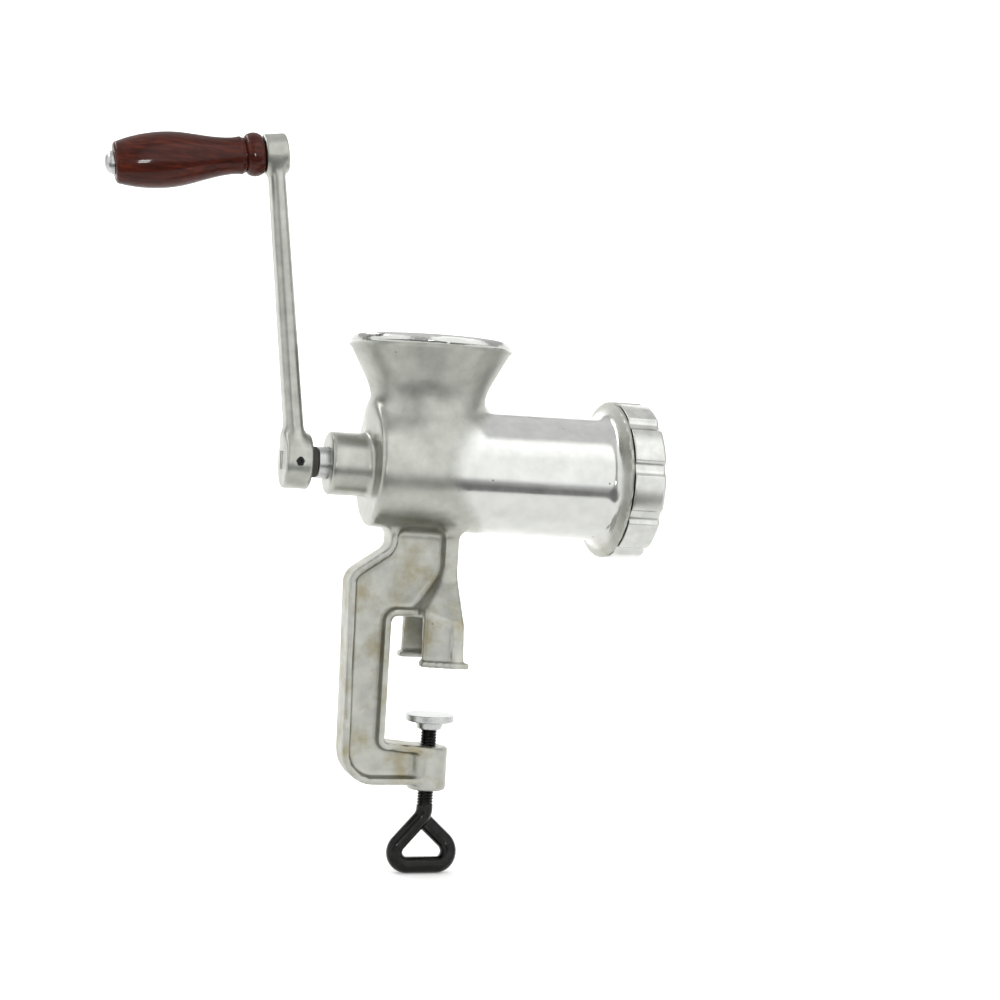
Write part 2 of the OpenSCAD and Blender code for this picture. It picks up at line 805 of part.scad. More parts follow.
// Turned grip: bead and groove by the eye, neck, belly and a rounded flat end.
module handle_grip() {
    tail = grip_len - tip_edge - belly_at;
    reach = tail / sqrt(1 - pow((tip_r + tip_edge) / belly_r, 2));
    swell = [for (i = [0 : 10])
        [neck_r + (belly_r - neck_r) * (1 - cos(18 * i)) / 2, neck_at + (belly_at - neck_at) * i / 10]];
    fall = [for (i = [1 : 7]) [belly_r * sqrt(1 - pow(tail / reach * i / 7, 2)), belly_at + tail * i / 7]];
    edge = [for (i = [1 : 4])
        [tip_r + tip_edge * cos(22.5 * i), grip_len - tip_edge + tip_edge * sin(22.5 * i)]];
    bore = spindle_r + run_gap;
    color("#5a2a1c")
        on_spindle([for (p = concat(
            [[bore, 0], [bead_r - 2.2, 0], [bead_r - 0.8, 0.9], [bead_r, 2.6], [bead_r, bead_len - 2.6],
                [bead_r - 0.6, bead_len - 0.9], [neck_r, bead_len], [neck_r - 0.4, bead_len + 0.6],
                [neck_r + 0.3, bead_len + 1.6], [neck_r + 0.3, bead_len + 2.4]],
            swell, fall, edge,
            [[bore, grip_len]])) [p[0], p[1] + face_gap]]);
}

module grip_washer() {
    z = face_gap + grip_len + face_gap;
    color("#b0b1af")
        on_spindle([
            [spindle_r, z],
            [head_r + 0.4, z],
            [head_r + 0.4, z + washer_t],
            [spindle_r, z + washer_t]]);
}

// Centre line of the loop, from inside the shank to the rod's end, which rises behind the first leg.
loop_path =
    let(a = [0, bend_z + 2], b = [0, loop_top], c = [-loop_l, loop_low], d = [loop_rt, loop_low])
    let(e = d + loop_tail * [-cos(loop_b), sin(loop_b)])
    let(flat = concat([a], fillet(a, b, c, first_bend), fillet(b, c, d, loop_bend)))
    let(last = concat(fillet(c, d, e, loop_bend), [e]))
    let(set = loop_set / (e[1] - loop_low))
    concat([for (p = flat) [p[0], 0, p[1]]], [for (p = last) [p[0], set * (p[1] - loop_low), p[1]]]);

// Rod bent along the loop's centre line, one ring of points for each point of the path.
module loop() {
    n = len(loop_path) - 1;
    k = 24;
    r = screw_r - 0.02;
    rings = [for (i = [0 : n])
        let(t = unit(loop_path[min(i + 1, n)] - loop_path[max(i - 1, 0)]), c = loop_path[i])
        let(side = unit([0, 1, 0] - t[1] * t), up = cross(t, side))
        for (j = [0 : k - 1])
            c + r * cos(360 * j / k) * up - r * sin(360 * j / k) * side];
    polyhedron(rings, tube_faces(n, k));
}

// Clamp screw: turned tip, threaded shank and a loop bent from the same rod for the fingers.
module clamp_screw() {
    color("#2b2c2d")
        translate([-screw_back, 0, 0]) {
            translate([0, 0, pad_low - 2])
                cylinder(h = tip_len + 2, r = screw_tip_r);
            translate([0, 0, bend_z])
                cylinder(h = screw_len - 0.1, r = screw_r);
            loop();
        }
}

// Swivel pad on the screw's tip.
module clamp_pad() {
    color("#9fa19f")
        translate([-screw_back, 0, 0])
            difference() {
                rotate_extrude()
                    polygon(rounded([
                        [0, pad_low, 0],
                        [screw_r + 2, pad_low, 0.5],
                        [screw_r + 3, pad_z - pad_t, 1.5],
                        [pad_r, pad_z - pad_t, 0.8],
                        [pad_r, pad_z, 0.6],
                        [0, pad_z, 0]]));
                translate([0, 0, pad_low - 1])
                    cylinder(h = tip_len + 1.2, r = screw_tip_r + run_gap);
            }
}

grinder_body();
plate_key();
rear_bush();
thrust_washer();
auger();
auger_stud();
knife();
grinding_plate();
ring_nut();
spacer_washer();
crank_arm();
crank_screw();
handle_spindle();
handle_grip();
grip_washer();
clamp_screw();
clamp_pad();
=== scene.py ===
import math

import bmesh
import bpy
import numpy as np
from mathutils import Matrix, Vector


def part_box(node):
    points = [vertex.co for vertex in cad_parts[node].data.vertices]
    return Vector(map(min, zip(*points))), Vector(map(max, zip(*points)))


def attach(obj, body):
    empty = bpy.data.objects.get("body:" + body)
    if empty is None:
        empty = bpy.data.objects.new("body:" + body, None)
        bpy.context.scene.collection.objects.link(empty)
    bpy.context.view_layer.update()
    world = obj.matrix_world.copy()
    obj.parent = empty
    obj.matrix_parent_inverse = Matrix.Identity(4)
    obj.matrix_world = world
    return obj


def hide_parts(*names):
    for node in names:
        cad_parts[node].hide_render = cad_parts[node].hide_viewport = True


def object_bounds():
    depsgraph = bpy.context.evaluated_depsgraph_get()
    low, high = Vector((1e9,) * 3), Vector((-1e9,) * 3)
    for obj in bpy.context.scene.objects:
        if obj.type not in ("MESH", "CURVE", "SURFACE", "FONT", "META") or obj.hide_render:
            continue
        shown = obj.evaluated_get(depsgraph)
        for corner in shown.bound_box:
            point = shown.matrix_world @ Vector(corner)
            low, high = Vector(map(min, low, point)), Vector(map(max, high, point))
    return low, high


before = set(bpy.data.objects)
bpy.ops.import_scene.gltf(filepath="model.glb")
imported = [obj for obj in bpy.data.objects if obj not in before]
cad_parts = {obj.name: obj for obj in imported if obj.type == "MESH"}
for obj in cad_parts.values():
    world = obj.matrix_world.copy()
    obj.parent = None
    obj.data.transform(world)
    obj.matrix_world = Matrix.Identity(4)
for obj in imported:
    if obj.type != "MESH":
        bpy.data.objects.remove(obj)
cad_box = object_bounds()

# Body casting: barrel, hopper, clamp frame and jaw poured as one piece of grey iron and hot-dipped in tin.
# Sand casting fillets every inside corner, so the solids are blended here as distances and then meshed.
# The barrel has been ground and polished before tinning; hopper and frame keep the dull skin of the mould.
MM = 0.001
AXIS = 99.3              # barrel's axis above the underside of the jaw, in millimetres as all sizes here
BARREL_BACK = -46.2
BARREL_R = 31
BARREL_DRAFT = 1.6
BARREL_LEN = 119.6
BORE_R = 27
BORE_BACK = -41.2
FLARE_X = 78
COLLAR_R = 41.3
COLLAR_FACE = 83.3
NOSE_R = 36.4
NOSE_END = 96.3
THREAD_START = 84.8
THREAD_END = 95.6
THREAD_ROOT = 35.3
THREAD_INSIDE = 34.5
RING_PITCH = 2.5
PLATE_SEAT_R = 31.15
PLATE_SEAT_X = 89.7
REAR_BOSS_R = 16
REAR_BOSS_END = -67.6
BUSH_R = 8
HOPPER_X = -17
HOPPER_TOP = 162
HOPPER_LEAN = math.radians(28)
THROAT_R = 29
THROAT_WALL = 4
THROAT_TOP = 131
SWEEP_R = 28
LIP_R = 42
LIP_TOP = 165.6
LIP_LOW = 161
RIM_WIDTH = 3.6
RIM_HALF = 9
WEB_HALF = 3.5
SCREW_X = -5.8
SCREW_BOSS_R = 10
SCREW_BOSS_LOW = -65.6
SCREW_BOSS_TOP = -43.4
SCREW_HOLE_R = 4.36
JAW_FRONT = 1.9
LEG_BACK = -4.4
LEG_HALF = 9.5
WING_BACK = -17.7
WING_LEAN = math.atan2(5, 17.7)
FOOT_BACK = -18.9
FOOT_FRONT = 4.4
FOOT_HALF = 31
FOOT_T = 3
POCKET_HALF = 19.8
POCKET_ROOF = 24.7
BODY_STEP = 1.2


def blend_min(a, b, k):
    """Union of two distances with a fillet about k wide."""
    h = np.clip(0.5 + 0.5 * (b - a) / k, 0, 1)
    return b + (a - b) * h - k * h * (1 - h)


def blend_max(a, b, k):
    """Intersection of two distances with an edge rounded about k wide."""
    return -blend_min(-a, -b, k)


def rounded(corners, steps=8):
    """Outline points from corners (u, v, fillet radius)."""
    points = []
    for i, (u, v, r) in enumerate(corners):
        b = np.array((u, v))
        to_a = np.array(corners[i - 1][:2]) - b
        to_c = np.array(corners[(i + 1) % len(corners)][:2]) - b
        to_a, to_c = to_a / np.hypot(*to_a), to_c / np.hypot(*to_c)
        if r == 0:
            points.append(b)
            continue
        half = math.acos(float(to_a @ to_c)) / 2
        middle = b + (to_a + to_c) / np.hypot(*(to_a + to_c)) * r / math.sin(half)
        start = b + to_a * r / math.tan(half) - middle
        end = b + to_c * r / math.tan(half) - middle
        first = math.atan2(start[1], start[0])
        sweep = (math.atan2(end[1], end[0]) - first + math.pi) % (2 * math.pi) - math.pi
        for k in range(steps + 1):
            turn = first + sweep * k / steps
            points.append(middle + r * np.array((math.cos(turn), math.sin(turn))))
    return points


def outline_distance(u, v, points):
    """Signed distance to a closed outline, negative inside."""
    nearest = np.full(np.broadcast(u, v).shape, 1e9)
    side = np.ones(nearest.shape)
    for (au, av), (bu, bv) in zip(points, points[-1:] + points[:-1]):
        eu, ev = bu - au, bv - av
        wu, wv = u - au, v - av
        t = np.clip((wu * eu + wv * ev) / (eu * eu + ev * ev), 0, 1)
        nearest = np.minimum(nearest, (wu - eu * t) ** 2 + (wv - ev * t) ** 2)
        over, under, left = v >= av, v < bv, eu * wv > ev * wu
        side = np.where((over & under & left) | ~(over | under | left), -side, side)
    return side * np.sqrt(nearest)


def funnel_radius(z, throat, sweep):
    """Radius of the hopper's wall at height z: straight throat, sweep, then a cone."""
    t = np.maximum(z - THROAT_TOP, 0)
    end = sweep * math.sin(HOPPER_LEAN)
    bent = throat + sweep - np.sqrt(sweep ** 2 - np.minimum(t, end) ** 2)
    return bent + np.maximum(t - end, 0) * math.tan(HOPPER_LEAN)


frame_outline = rounded([
    (-52.3, -62.6, 17), (SCREW_X, -62.6, 0), (SCREW_X, SCREW_BOSS_TOP, 0), (-31, -40.8, 1.8),
    (-31, 23.7, 3.2), (-1.9, 23.7, 0), (-1.9, 80, 0), (-34, 80, 0), (-34, 58.6, 6), (-54.3, 44.6, 10)])
leg_outline = rounded([
    (-29.8, 0, 0), (29.8, 0, 0), (27.3, 22, 9), (LEG_HALF, 45, 14), (LEG_HALF, 71.3, 0),
    (-LEG_HALF, 71.3, 0), (-LEG_HALF, 45, 14), (-27.3, 22, 9)])


def body_distance(x, y, z):
    """Distance to the casting's surface."""
    r = np.hypot(y, z - AXIS)
    q = np.hypot(x - HOPPER_X, y)
    s = np.hypot(x - SCREW_X, y)
    # barrel with its flare and collar, the threaded nose and the rear boss
    wall = BARREL_R + BARREL_DRAFT * (x - BARREL_BACK) / BARREL_LEN
    wall = np.minimum(wall + 2.5 * np.logaddexp(0, (x - FLARE_X) / 1.1), COLLAR_R)
    barrel = blend_max(blend_max(r - wall, BARREL_BACK - x, 3.5), x - COLLAR_FACE, 0.9)
    boss = np.maximum(blend_max(r - REAR_BOSS_R, REAR_BOSS_END - x, 2), x)
    nose = np.maximum(blend_max(r - THREAD_ROOT + 0.3, x - NOSE_END, 0.8), COLLAR_FACE - 3.3 - x)
    # hopper with its rolled lip
    hopper = np.maximum((q - funnel_radius(z, THROAT_R, SWEEP_R)) * 0.9, z - HOPPER_TOP)
    hopper = blend_max(hopper, AXIS + 8 - z, 14)
    lip = blend_max(blend_max(q - LIP_R, z - LIP_TOP, 2.4), LIP_LOW - z, 1.2)
    hopper = blend_min(hopper, lip, 2)
    # clamp frame: a web with a rim on both sides, and the boss of the clamp screw
    side = outline_distance(x, z, frame_outline)
    web = np.maximum(side + 2 / 3 * RIM_WIDTH, np.abs(y) - WEB_HALF)
    rim = blend_max(blend_max(side, -RIM_WIDTH - side, 1.2), np.abs(y) - RIM_HALF, 1.6)
    clamp = blend_min(web, rim, 3.2)
    screw_boss = blend_max(s - SCREW_BOSS_R, np.maximum(SCREW_BOSS_LOW - z, z - SCREW_BOSS_TOP), 1.8)
    clamp = blend_min(clamp, screw_boss, 2.2)
    # fixed jaw: bell-shaped front wall, two wings behind it with a pocket between them, and the foot
    bell = outline_distance(y, z, leg_outline)
    leg = blend_max(bell, np.maximum(LEG_BACK - x, x - JAW_FRONT), 1.3)
    pocket = blend_max(np.abs(y) - POCKET_HALF + 0.1 * z, z - POCKET_ROOF, 3)
    slope = 0.57 * (z - POCKET_ROOF - 4) - 0.822 * (x - WING_BACK)
    behind = np.maximum(np.maximum(WING_BACK - x, x), slope)
    taper = (np.abs(y) - 28.2) * math.cos(WING_LEAN) - x * math.sin(WING_LEAN)
    wings = blend_max(blend_max(np.maximum(bell, -pocket), taper, 1.0), behind, 1.4)
    back_corners = np.abs(y) - FOOT_HALF - 0.3448 * np.minimum(x - LEG_BACK, 0)
    plan = np.maximum(back_corners, np.maximum(FOOT_BACK - x, x - FOOT_FRONT))
    plan = np.maximum(plan, -np.maximum(np.abs(y) - POCKET_HALF + 1.2, x - LEG_BACK))
    foot = blend_max(plan, np.abs(z - FOOT_T / 2) - FOOT_T / 2, 1)
    jaw = np.maximum(blend_min(blend_min(leg, wings, 0.8), foot, 1.5), -z)
    solid = blend_min(blend_min(barrel, boss, 3.5), hopper, 7)
    solid = blend_min(solid, blend_min(clamp, jaw, 3), 6)
    solid = blend_min(np.where(x < COLLAR_FACE, solid, barrel), nose, 0.9)
    # bores: barrel, plate seat, bush, hopper and clamp screw
    throat = funnel_radius(z, THROAT_R - THROAT_WALL, SWEEP_R + THROAT_WALL)
    for cut in (
            np.maximum(np.maximum(r - BORE_R, BORE_BACK - x), x - PLATE_SEAT_X - 0.1),
            np.maximum(r - PLATE_SEAT_R, PLATE_SEAT_X - x),
            np.maximum(r - BUSH_R, x - BORE_BACK - 0.2),
            np.maximum((q - throat) * 0.9, AXIS + 5 - z),
            np.maximum(s - SCREW_HOLE_R, z + 30)):
        solid = np.maximum(solid, -cut)
    return solid


def mesh_of(distance, low, high, step):
    """Vertices and four-sided faces of a distance's zero surface, on a grid of that step."""
    axes = [np.arange(a - 1.5 * step, b + 2.5 * step, step) for a, b in zip(low, high)]
    grid = axes[0][:, None, None], axes[1][None, :, None], axes[2][None, None, :]
    value = np.broadcast_to(distance(*grid), [len(a) for a in axes])
    inside = value < 0
    cells = [n - 1 for n in inside.shape]
    # a vertex in each cell that the surface crosses, at the middle of its crossings
    total = np.zeros(cells + [3])
    count = np.zeros(cells)
    corners = [(i, j, k) for i in (0, 1) for j in (0, 1) for k in (0, 1)]
    for a in corners:
        for axis in range(3):
            if a[axis]:
                continue
            b = tuple(1 if n == axis else a[n] for n in range(3))
            at_a, at_b = (tuple(slice(m, m + n) for m, n in zip(c, cells)) for c in (a, b))
            hit = inside[at_a] != inside[at_b]
            place = np.where(hit, value[at_a] / np.where(hit, value[at_a] - value[at_b], 1), 0)
            for n in range(3):
                total[..., n] += hit * (place if n == axis else a[n])
            count += hit
    used = count > 0
    index = np.full(cells, -1)
    index[used] = np.arange(used.sum())
    points = np.argwhere(used) + total[used] / count[used][:, None]
    points = np.array([a[0] for a in axes]) + points * step
    # a face across each grid edge that the surface crosses
    faces = []
    for axis in range(3):
        u, v = (axis + 1) % 3, (axis + 2) % 3
        first = [slice(1, n) for n in cells]
        first[axis] = slice(0, cells[axis])
        second = list(first)
        second[axis] = slice(1, cells[axis] + 1)
        a, b = inside[tuple(first)], inside[tuple(second)]
        ring = []
        for du, dv in ((1, 1), (0, 1), (0, 0), (1, 0)):
            part = [slice(0, n) for n in cells]
            part[u] = slice(1 - du, cells[u] - du)
            part[v] = slice(1 - dv, cells[v] - dv)
            ring.append(index[tuple(part)])
        quads = np.stack(ring, -1)
        faces += [quads[a & ~b][:, ::-1], quads[b & ~a]]
    # each vertex goes straight to the surface
    for _ in range(4):
        here = distance(*points.T)
        slope = np.stack([
            distance(*(points + d).T) - distance(*(points - d).T) for d in np.eye(3) * 0.02], -1) / 0.04
        size = np.maximum((slope ** 2).sum(1), 0.2)
        move = np.clip(here / size, -0.4 * step, 0.4 * step)
        points = points - slope * move[:, None]
    return np.clip(points, low, high), np.concatenate(faces)


def linear(code):
    """Linear colour of a hex sRGB code."""
    parts = [int(code[i:i + 2], 16) / 255 for i in (1, 3, 5)]
    return tuple(c / 12.92 if c < 0.04045 else ((c + 0.055) / 1.055) ** 2.4 for c in parts) + (1,)


def add(tree, kind, inputs=(), stops=(), **settings):
    """Adds a node, or takes the one of that name; an input is a value, a socket or a node's first output."""
    made = tree.nodes.get(kind) or tree.nodes.new(kind)
    for key, value in settings.items():
        setattr(made, key, value)
    for i, (position, code) in enumerate(stops):
        elements = made.color_ramp.elements
        stop = elements[i] if i < 2 else elements.new(position)
        stop.position, stop.color = position, linear(code)
    for key, value in dict(inputs).items():
        value = value.outputs[0] if isinstance(value, bpy.types.Node) else value
        if isinstance(value, bpy.types.NodeSocket):
            tree.links.new(value, made.inputs[key])
        else:
            made.inputs[key].default_value = value
    return made


def new_material(name):
    """Material with a Principled shader, its tree and its object coordinates."""
    made = bpy.data.materials.new(name)
    made.use_nodes = True
    return made, made.node_tree, add(made.node_tree, "ShaderNodeTexCoord").outputs["Object"]


# mottled tin: cloudy patches and a sandy skin make it cast metal, and the polished barrel mirrors the room
tin, tree, place = new_material("tinned_cast_iron")
clouds = add(tree, "ShaderNodeTexNoise", {"Vector": place, "Scale": 1000 / 9, "Detail": 4, "Roughness": 0.55})
skin = add(tree, "ShaderNodeTexNoise", {"Vector": place, "Scale": 1000 / 1.6, "Detail": 3, "Roughness": 0.55})
xyz = add(tree, "ShaderNodeSeparateXYZ", {0: place}).outputs
about_axis = add(tree, "ShaderNodeMapping", {
    "Vector": place, "Location": (0, 0, -AXIS * MM), "Scale": (0, 1, 1)})
radius = add(tree, "ShaderNodeVectorMath", {0: about_axis}, operation="LENGTH").outputs["Value"]
about_hopper = add(tree, "ShaderNodeMapping", {
    "Vector": place, "Location": (-HOPPER_X * MM, 0, 0), "Scale": (1, 1, 0)})
aside = add(tree, "ShaderNodeVectorMath", {0: about_hopper}, operation="LENGTH").outputs["Value"]
# where the grinding wheel went: the barrel in front of the hopper, and the lip
near_axis = add(tree, "ShaderNodeMapRange", {
    "Value": radius, "From Min": 0.0335, "From Max": 0.0385, "To Min": 1.0, "To Max": 0.0},
    interpolation_type="SMOOTHSTEP")
clear = add(tree, "ShaderNodeMapRange", {"Value": aside, "From Min": 0.029, "From Max": 0.035},
            interpolation_type="SMOOTHSTEP")
front = add(tree, "ShaderNodeMapRange", {"Value": xyz["X"], "From Min": -0.015, "From Max": -0.003},
            interpolation_type="SMOOTHSTEP")
on_lip = add(tree, "ShaderNodeMapRange", {"Value": xyz["Z"], "From Min": 0.1604, "From Max": 0.1616})
ground = add(tree, "ShaderNodeMath", {0: clear, 1: front}, operation="MULTIPLY")
ground = add(tree, "ShaderNodeMath", {0: near_axis, 1: ground}, operation="MULTIPLY")
polished = add(tree, "ShaderNodeMath", {0: ground, 1: on_lip}, operation="MAXIMUM")
dull_tone = add(tree, "ShaderNodeValToRGB", {0: clouds}, [(0.3, "#9d9e98"), (0.7, "#b2b3ac")])
bright_tone = add(tree, "ShaderNodeValToRGB", {0: clouds}, [(0.3, "#bfc0bd"), (0.7, "#cbccc9")])
tone = add(tree, "ShaderNodeMix", {0: polished, 6: dull_tone, 7: bright_tone}, data_type="RGBA").outputs[2]
# painted shade: blotchy olive darkening low on the frame, strongest towards the bottom
low = add(tree, "ShaderNodeMapRange", {
    "Value": xyz["Z"], "From Min": 0.05, "From Max": 0.075, "To Min": 1.0, "To Max": 0.0})
shade_blotches = add(tree, "ShaderNodeTexNoise", {"Vector": place, "Scale": 1000 / 14, "Detail": 5, "Roughness": 0.55})
painted_low_shade = add(tree, "ShaderNodeMapRange", {"Value": shade_blotches, "From Min": 0.48, "From Max": 0.68, "To Max": 0.75})
painted_low_shade = add(tree, "ShaderNodeMath", {0: low, 1: painted_low_shade}, operation="MULTIPLY")
# the painted shade colour, mixed over the tin in those blotches
tone = add(tree, "ShaderNodeMix", {0: painted_low_shade, 6: tone, 7: linear("#8c8468")}, data_type="RGBA").outputs[2]
# a few sand holes
cells = add(tree, "ShaderNodeTexVoronoi", {"Vector": place, "Scale": 1000 / 13}).outputs
chance = add(tree, "ShaderNodeSeparateColor", {0: cells["Color"]})
chosen = add(tree, "ShaderNodeMath", {0: chance, 1: 0.6}, operation="GREATER_THAN")
hole = add(tree, "ShaderNodeMapRange", {
    "Value": cells["Distance"], "From Min": 0.02, "From Max": 0.06, "To Min": 1.0, "To Max": 0.0})
pits = add(tree, "ShaderNodeMath", {0: hole, 1: chosen}, operation="MULTIPLY")
tone = add(tree, "ShaderNodeMix", {0: pits, 6: tone, 7: linear("#4a4843")}, data_type="RGBA").outputs[2]
dull = add(tree, "ShaderNodeMapRange", {"Value": skin, "To Min": 0.32, "To Max": 0.5})
satin = add(tree, "ShaderNodeMapRange", {"Value": clouds, "To Min": 0.285, "To Max": 0.37})
bright = add(tree, "ShaderNodeMapRange", {"Value": clouds, "To Min": 0.08, "To Max": 0.18})
rough = add(tree, "ShaderNodeMix", {0: near_axis, 2: dull, 3: satin})
rough = add(tree, "ShaderNodeMix", {0: polished, 2: rough, 3: bright})
height = add(tree, "ShaderNodeMath", {0: skin, 1: clouds}, operation="ADD")
height = add(tree, "ShaderNodeMath", {0: height, 1: pits}, operation="SUBTRACT")
depth = add(tree, "ShaderNodeMapRange", {"Value": near_axis, "To Min": 0.16, "To Max": 0.04})
bump = add(tree, "ShaderNodeBump", {"Height": height, "Strength": depth, "Distance": 0.25 * MM})
add(tree, "Principled BSDF", {"Base Color": tone, "Roughness": rough, "Metallic": 1.0, "Normal": bump})


def new_object(name, points, faces):
    """Object at the origin with a mesh from points in millimetres."""
    mesh = bpy.data.meshes.new(name)
    mesh.from_pydata((np.asarray(points, float) * MM).tolist(), [], [list(map(int, f)) for f in faces])
    obj = bpy.data.objects.new(name, mesh)
    bpy.context.scene.collection.objects.link(obj)
    return obj


def finish_piece(obj, body, node, material, sharp=40):
    """Merges doubles, turns normals outward, shades by angle, and hands the piece to its body."""
    work = bmesh.new()
    work.from_mesh(obj.data)
    bmesh.ops.remove_doubles(work, verts=work.verts, dist=0.00001)
    bmesh.ops.recalc_face_normals(work, faces=work.faces)
    work.to_mesh(obj.data)
    work.free()
    obj.data.shade_smooth()
    obj.data.set_sharp_from_angle(angle=math.radians(sharp))
    obj.data.materials.clear()
    obj.data.materials.append(material)
    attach(obj, body)
    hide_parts(node)


def cad_limits(node):
    """Lowest and highest corner of a CAD node in millimetres."""
    return [np.array(corner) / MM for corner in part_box(node)]


def nose_thread(sides=144):
    """Points and faces of the nose's right-hand thread: a root, two crest lines and a root in each turn."""
    turns = math.ceil((THREAD_END - THREAD_START) / RING_PITCH) + 3
    rows = 4 * turns
    points, faces = [], []
    for i in range(sides):
        angle = 2 * math.pi * i / sides
        section = []
        for j in range(rows):
            x = THREAD_START + RING_PITCH * ((j + 0.5) / 4 + i / sides - 2)
            on_crest = THREAD_START < x < THREAD_END and j % 4 in (1, 2)
            section.append((min(max(x, THREAD_START), THREAD_END), NOSE_R if on_crest else THREAD_ROOT))
        section += [(THREAD_END, THREAD_INSIDE), (THREAD_START, THREAD_INSIDE)]
        points += [(x, r * math.cos(angle), AXIS + r * math.sin(angle)) for x, r in section]
    size = rows + 2
    for i in range(sides):
        # after one turn a row has become the fourth row above it
        seam = 4 if i == sides - 1 else 0
        n = (i + 1) % sides
        for j in range(size):
            k = (j + 1) % size
            over_j, over_k = (min(m + seam, rows - 1) if m < rows else m for m in (j, k))
            faces.append((i * size + j, i * size + k, n * size + over_k, n * size + over_j))
    return points, faces


points, faces = mesh_of(body_distance, *cad_limits("grinder_body"), BODY_STEP)
thread_points, thread_faces = nose_thread()
faces = faces.tolist() + [[n + len(points) for n in face] for face in thread_faces]
casting = new_object("body_casting", np.concatenate([points, thread_points]), faces)
finish_piece(casting, "housing", "grinder_body", tin)

# Small turned steel: the plate's dowel, the rear bush, the thrust washer, the stud, the knife and the plate.
# Lathe and grinding wheel leave fine rings across the surface, so tone and roughness run in thin lines.
steel, tree, place = new_material("ground_steel")
across = add(tree, "ShaderNodeMapping", {"Vector": place, "Scale": (6, 1, 1)})
lines = add(tree, "ShaderNodeTexNoise", {
    "Vector": across, "Scale": 1000 / 1.6, "Detail": 4, "Roughness": 0.55})
tone = add(tree, "ShaderNodeValToRGB", {0: lines}, [(0.3, "#a4a6a6"), (0.7, "#c4c5c3")])
rough = add(tree, "ShaderNodeMapRange", {"Value": lines, "To Min": 0.2, "To Max": 0.42})
bump = add(tree, "ShaderNodeBump", {"Height": lines, "Strength": 0.12, "Distance": 0.1 * MM})
add(tree, "Principled BSDF", {"Base Color": tone, "Roughness": rough, "Metallic": 1.0, "Normal": bump})


def dress(material, *nodes):
    """Gives CAD nodes that stay as they are a material."""
    for name in nodes:
        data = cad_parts[name].data
        data.materials.clear()
        data.materials.append(material)


dress(steel, "plate_key", "rear_bush", "thrust_washer", "auger_stud", "knife", "grinding_plate")

# Feed screw: tinned cast iron like the body, scoured bright in use; seen from above through the hopper.
# The flight keeps cast roughness on its faces, and its rim is turned to run in the bore.
screw_iron, tree, place = new_material("scoured_cast_iron")
clouds = add(tree, "ShaderNodeTexNoise", {"Vector": place, "Scale": 1000 / 5, "Detail": 4, "Roughness": 0.55})
skin = add(tree, "ShaderNodeTexNoise", {"Vector": place, "Scale": 1000 / 0.8, "Detail": 3, "Roughness": 0.55})
tone = add(tree, "ShaderNodeValToRGB", {0: clouds}, [(0.3, "#a3a49f"), (0.7, "#c3c4be")])
rough = add(tree, "ShaderNodeMapRange", {"Value": skin, "To Min": 0.28, "To Max": 0.5})
bump = add(tree, "ShaderNodeBump", {"Height": skin, "Strength": 0.25, "Distance": 0.2 * MM})
add(tree, "Principled BSDF", {"Base Color": tone, "Roughness": rough, "Metallic": 1.0, "Normal": bump})
dress(screw_iron, "auger")

# Ring nut: cast with ten broad lobes for the hand, then turned and polished before tinning.
# One lobe is made between two grooves, and Geometry Nodes set it ten times about the axis.
LOBES = 10
RING_R = 41.5
RING_BACK = 83.9
RING_FACE = 101.4
RING_BORE = 36.7
MOUTH_R = 28
MOUTH_BACK = 97.4
GROOVE_R = 6
GROOVE_OUT = 45.6        # middle of the cutter that makes a groove, from the axis
GROOVE_AT = 10           # degrees below the level at which one groove lies

# near mirror: thin turning lines over soft clouds, which break the reflection up as polished tin does
ring_tin, tree, place = new_material("polished_tin")
clouds = add(tree, "ShaderNodeTexNoise", {"Vector": place, "Scale": 1000 / 7, "Detail": 4, "Roughness": 0.55})
across = add(tree, "ShaderNodeMapping", {"Vector": place, "Scale": (5, 1, 1)})
lines = add(tree, "ShaderNodeTexNoise", {
    "Vector": across, "Scale": 1000 / 1.4, "Detail": 3, "Roughness": 0.55})
tone = add(tree, "ShaderNodeValToRGB", {0: clouds}, [(0.3, "#b6b7b3"), (0.7, "#c9cac6")])
rough = add(tree, "ShaderNodeMapRange", {"Value": lines, "To Min": 0.14, "To Max": 0.32})
bump = add(tree, "ShaderNodeBump", {"Height": lines, "Strength": 0.12, "Distance": 0.12 * MM})
add(tree, "Principled BSDF", {"Base Color": tone, "Roughness": rough, "Metallic": 1.0, "Normal": bump})


def lobe_radius(angle):
    """Outside radius of the ring nut at an angle from the middle of a groove."""
    reach = GROOVE_OUT * math.sin(angle)
    cut = 99
    if abs(reach) < GROOVE_R:
        cut = GROOVE_OUT * math.cos(angle) - math.sqrt(GROOVE_R ** 2 - reach ** 2)
    return float(blend_min(np.array(RING_R), np.array(cut), 0.5))


part = 2 * math.pi / LOBES
groove_side = np.linspace(0, 0.13, 12)
angles = np.concatenate([groove_side, np.linspace(0.15, part - 0.15, 8), part - groove_side[::-1]])
points, faces = [], []
for angle in angles:
    out = lobe_radius(min(angle, part - angle))
    section = rounded([
        (RING_BORE, RING_BACK, 0), (out, RING_BACK, 0.8), (out, RING_FACE, 2.2), (MOUTH_R, RING_FACE, 0.8),
        (MOUTH_R, MOUTH_BACK, 0), (RING_BORE, MOUTH_BACK, 0)], 6)
    points += [(x, r * math.cos(angle), r * math.sin(angle)) for r, x in section]
size = len(section)
for i in range(len(angles) - 1):
    for j in range(size):
        k = (j + 1) % size
        faces.append((i * size + j, i * size + k, i * size + size + k, i * size + size + j))
ring = new_object("ring_nut_lobed", points, faces)


